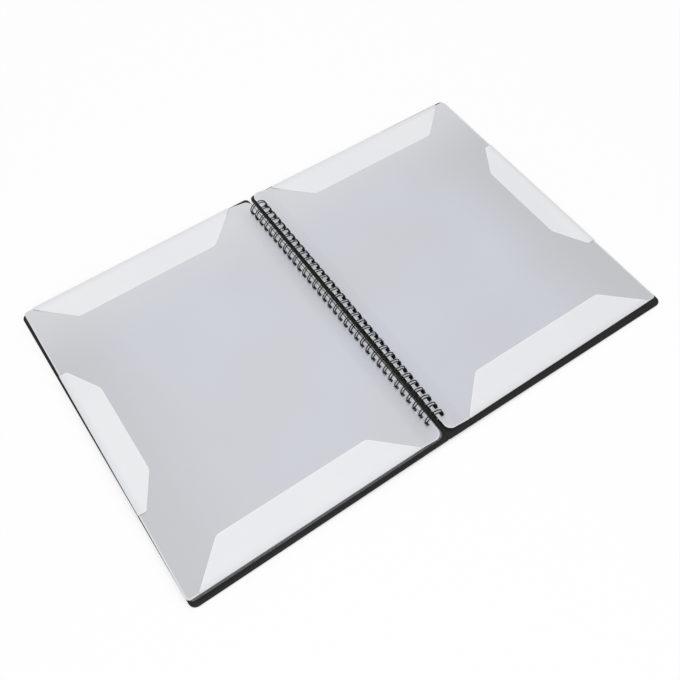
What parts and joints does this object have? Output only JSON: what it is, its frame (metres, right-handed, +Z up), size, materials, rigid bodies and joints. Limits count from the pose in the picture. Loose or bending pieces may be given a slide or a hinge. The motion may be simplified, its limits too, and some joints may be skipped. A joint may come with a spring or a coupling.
{
  "type": "wire-bound display book",
  "caption": "Flat wire-bound book lying open, with stiff covers and milky leaves whose folded-in flaps hold a loose sheet on each page.",
  "frame": {"origin": "on the table, in the middle of the open covers", "axes": "+X across the spread to the right-hand page, +Y to the head of the pages, +Z up"},
  "size_m": [0.482, 0.322, 0.017],
  "materials": {
    "cover_board": "fine-grained black polypropylene",
    "leaf_film": "milky translucent polypropylene film",
    "flap_film": "milky translucent polypropylene film, doubled over the page",
    "wire_coating": "glossy black nylon coating on steel wire"
  },
  "bodies": {
    "wire_body": {"binding_wire": "wire_coating"},
    "front_cover_body": {"front_cover": "cover_board"},
    "back_cover_body": {"back_cover": "cover_board"},
    "leaf_1_body": {"leaf_1_sheet": "leaf_film", "leaf_1_front_flaps": "flap_film", "leaf_1_back_flaps": "flap_film"},
    "leaf_2_body": {"leaf_2_sheet": "leaf_film", "leaf_2_front_flaps": "flap_film", "leaf_2_back_flaps": "flap_film"},
    "leaf_3_body": {"leaf_3_sheet": "leaf_film", "leaf_3_front_flaps": "flap_film", "leaf_3_back_flaps": "flap_film"},
    "leaf_4_body": {"leaf_4_sheet": "leaf_film", "leaf_4_front_flaps": "flap_film", "leaf_4_back_flaps": "flap_film"},
    "leaf_5_body": {"leaf_5_sheet": "leaf_film", "leaf_5_front_flaps": "flap_film"},
    "leaf_6_body": {"leaf_6_sheet": "leaf_film", "leaf_6_back_flaps": "flap_film"},
    "left_page_head_flap_body": {"left_page_head_flap": "flap_film"},
    "left_page_foot_flap_body": {"left_page_foot_flap": "flap_film"},
    "left_page_fore_flap_body": {"left_page_fore_flap": "flap_film"},
    "right_page_head_flap_body": {"right_page_head_flap": "flap_film"},
    "right_page_foot_flap_body": {"right_page_foot_flap": "flap_film"},
    "right_page_fore_flap_body": {"right_page_fore_flap": "flap_film"}
  },
  "joints": [
    {"name": "front_cover_turn", "type": "hinge", "parent": "wire_body", "child": "front_cover_body", "pos_m": [0, -0.0004, 0.0085], "axis": [0, 1, 0], "range_deg": [0, 181.5]},
    {"name": "back_cover_turn", "type": "hinge", "parent": "wire_body", "child": "back_cover_body", "pos_m": [0, -0.0004, 0.0085], "axis": [0, 1, 0], "range_deg": [-181.5, 0]},
    {"name": "leaf_1_turn", "type": "hinge", "parent": "front_cover_body", "child": "leaf_1_body", "pos_m": [0, -0.0004, 0.0085], "axis": [0, 1, 0], "range_deg": [0, 180]},
    {"name": "leaf_2_turn", "type": "hinge", "parent": "leaf_1_body", "child": "leaf_2_body", "pos_m": [0, -0.0004, 0.0085], "axis": [0, 1, 0], "range_deg": [0, 180]},
    {"name": "leaf_3_turn", "type": "hinge", "parent": "leaf_2_body", "child": "leaf_3_body", "pos_m": [0, -0.0004, 0.0085], "axis": [0, 1, 0], "range_deg": [0, 180]},
    {"name": "leaf_4_turn", "type": "hinge", "parent": "leaf_3_body", "child": "leaf_4_body", "pos_m": [0, -0.0004, 0.0085], "axis": [0, 1, 0], "range_deg": [0, 180]},
    {"name": "leaf_5_turn", "type": "hinge", "parent": "leaf_4_body", "child": "leaf_5_body", "pos_m": [0, -0.0004, 0.0085], "axis": [0, 1, 0], "range_deg": [0, 180]},
    {"name": "leaf_6_turn", "type": "hinge", "parent": "back_cover_body", "child": "leaf_6_body", "pos_m": [0, -0.0004, 0.0085], "axis": [0, 1, 0], "range_deg": [-180, 0]},
    {"name": "left_page_head_flap_lift", "type": "hinge", "parent": "leaf_5_body", "child": "left_page_head_flap_body", "pos_m": [-0.12227, 0.15865, 0.00654], "axis": [-1, 0, -0.0068], "range_deg": [0, 150]},
    {"name": "left_page_foot_flap_lift", "type": "hinge", "parent": "leaf_5_body", "child": "left_page_foot_flap_body", "pos_m": [-0.12227, -0.15475, 0.00654], "axis": [1, 0, 0.0068], "range_deg": [0, 150]},
    {"name": "left_page_fore_flap_lift", "type": "hinge", "parent": "leaf_5_body", "child": "left_page_fore_flap_body", "pos_m": [-0.24062, 0.00195, 0.00573], "axis": [0, -1, 0], "range_deg": [0, 150]},
    {"name": "right_page_head_flap_lift", "type": "hinge", "parent": "leaf_6_body", "child": "right_page_head_flap_body", "pos_m": [0.12046, 0.15865, 0.00275], "axis": [1, 0, -0.0068], "range_deg": [-150, 0]},
    {"name": "right_page_foot_flap_lift", "type": "hinge", "parent": "leaf_6_body", "child": "right_page_foot_flap_body", "pos_m": [0.12046, -0.15475, 0.00275], "axis": [-1, 0, 0.0068], "range_deg": [-150, 0]},
    {"name": "right_page_fore_flap_lift", "type": "hinge", "parent": "leaf_6_body", "child": "right_page_fore_flap_body", "pos_m": [0.23881, 0.00195, 0.00194], "axis": [0, -1, 0], "range_deg": [-150, 0]}
  ]
}
